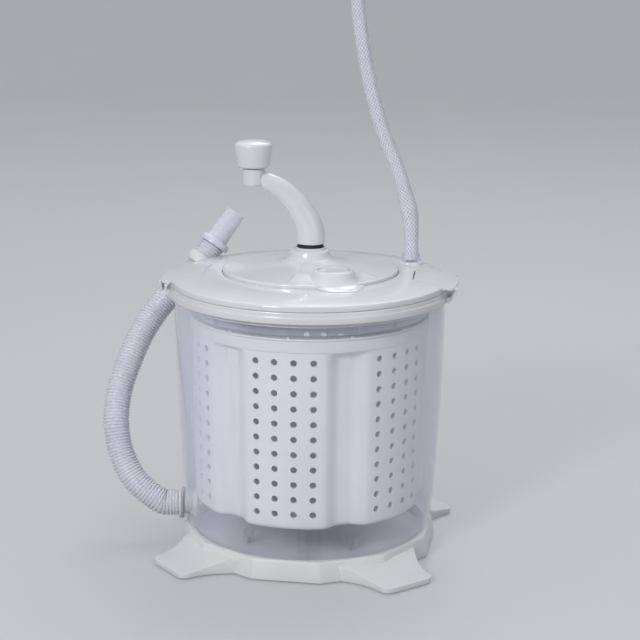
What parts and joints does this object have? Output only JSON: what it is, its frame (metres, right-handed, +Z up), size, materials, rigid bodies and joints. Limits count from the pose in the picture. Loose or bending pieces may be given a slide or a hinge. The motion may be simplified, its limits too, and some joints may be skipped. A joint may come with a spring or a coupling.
{
  "type": "mini washing machine",
  "caption": "Hand-cranked tabletop washing machine: clear tub on a footed base, perforated basket, lid with crank gear, latches, filler cap, inlet and drain hoses.",
  "frame": {"origin": "on the floor, on the tub's axis", "axes": "+Z up along the tub's and the crank's axis; the latches lie near +X and -X; -Y is the front, so the two hoses rise at the back left and the back right"},
  "size_m": [0.3458, 0.265, 0.5695],
  "materials": {
    "gloss_white": "glossy white moulded plastic",
    "satin_white": "satin white moulded plastic",
    "basket_white": "slightly translucent white plastic",
    "clear_tub": "clear moulded plastic, shown as glass",
    "clear_ring": "frosted clear plastic",
    "hose_vinyl": "ribbed milky vinyl",
    "braided_vinyl": "clear vinyl over a white braid",
    "black_rubber": "black rubber",
    "grey_rubber": "grey rubber",
    "gear_nylon": "natural nylon",
    "bearing_bronze": "sintered bronze",
    "steel": "bright steel",
    "tap_brass": "plain brass"
  },
  "bodies": {
    "root": {"base": "satin_white", "foot_pad_1": "grey_rubber", "foot_pad_2": "grey_rubber", "foot_pad_3": "grey_rubber", "foot_pad_4": "grey_rubber", "base_screw_1": "steel", "base_screw_2": "steel", "base_screw_3": "steel", "base_screw_4": "steel", "tub": "clear_tub", "pivot_pin": "steel", "drain_spout": "satin_white", "drain_gasket": "grey_rubber", "drain_nut": "satin_white", "drain_hose": "hose_vinyl", "drain_connector": "hose_vinyl", "hose_clip": "satin_white", "collar": "gloss_white"},
    "basket": {"basket": "basket_white", "basket_bush": "bearing_bronze", "basket_cover": "basket_white"},
    "output": {"output_shaft": "steel", "sun_gear": "gear_nylon"},
    "lid": {"lid": "gloss_white", "lid_gasket": "grey_rubber", "splash_ring": "clear_ring", "gearbox_cover": "gloss_white", "cover_screw_1": "steel", "cover_screw_2": "steel", "cover_screw_3": "steel", "cover_screw_4": "steel", "planet_pin_1": "steel", "planet_pin_2": "steel", "planet_pin_3": "steel", "output_bush": "bearing_bronze", "crank_bush": "bearing_bronze", "shaft_seal": "black_rubber", "latch_pin_1": "steel", "latch_pin_2": "steel", "inlet_nozzle": "clear_ring", "inlet_hose": "braided_vinyl", "tap_connector": "tap_brass"},
    "crank": {"crank_arm": "satin_white", "crank_shaft": "steel", "ring_gear": "gear_nylon", "shaft_screw": "steel", "knob_pin": "steel"},
    "knob": {"knob": "satin_white"},
    "planet_1": {"planet_gear_1": "gear_nylon"},
    "planet_2": {"planet_gear_2": "gear_nylon"},
    "planet_3": {"planet_gear_3": "gear_nylon"},
    "filler_cap": {"filler_cap": "gloss_white", "cap_gasket": "grey_rubber"},
    "latch_right": {"latch_right": "gloss_white"},
    "latch_left": {"latch_left": "gloss_white"}
  },
  "joints": [
    {"name": "lid_lift", "type": "slide", "parent": "root", "child": "lid", "axis": [0, 0, 1], "range_m": [0, 0.12]},
    {"name": "basket_spin", "type": "hinge", "parent": "root", "child": "basket", "pos_m": [0, 0, 0.04], "axis": [0, 0, 1], "continuous": true},
    {"name": "output_spin", "type": "hinge", "parent": "lid", "child": "output", "pos_m": [0, 0, 0.25], "axis": [0, 0, 1], "continuous": true},
    {"name": "crank_turn", "type": "hinge", "parent": "lid", "child": "crank", "pos_m": [0, 0, 0.28], "axis": [0, 0, 1], "continuous": true},
    {"name": "planet_1_spin", "type": "hinge", "parent": "lid", "child": "planet_1", "pos_m": [0.024, 0, 0.26], "axis": [0, 0, 1], "continuous": true},
    {"name": "planet_2_spin", "type": "hinge", "parent": "lid", "child": "planet_2", "pos_m": [-0.012, 0.02079, 0.26], "axis": [0, 0, 1], "continuous": true},
    {"name": "planet_3_spin", "type": "hinge", "parent": "lid", "child": "planet_3", "pos_m": [-0.012, -0.02079, 0.26], "axis": [0, 0, 1], "continuous": true},
    {"name": "knob_spin", "type": "hinge", "parent": "crank", "child": "knob", "pos_m": [-0.05219, -0.0092, 0.375], "axis": [0, 0, 1], "continuous": true},
    {"name": "cap_pull", "type": "slide", "parent": "lid", "child": "filler_cap", "axis": [0, 0, 1], "range_m": [0, 0.03]},
    {"name": "latch_right_open", "type": "hinge", "parent": "lid", "child": "latch_right", "pos_m": [0.09926, 0.00694, 0.26299], "axis": [0.0698, -0.9976, 0], "range_deg": [0, 70]},
    {"name": "latch_left_open", "type": "hinge", "parent": "lid", "child": "latch_left", "pos_m": [-0.09926, -0.00694, 0.26299], "axis": [-0.0698, 0.9976, 0], "range_deg": [0, 70]}
  ],
  "couplings": [
    {"joint": "crank_turn", "follows": "basket_spin", "ratio": -0.33333},
    {"joint": "output_spin", "follows": "basket_spin", "ratio": 1},
    {"joint": "planet_1_spin", "follows": "basket_spin", "ratio": -1},
    {"joint": "planet_2_spin", "follows": "basket_spin", "ratio": -1},
    {"joint": "planet_3_spin", "follows": "basket_spin", "ratio": -1}
  ]
}
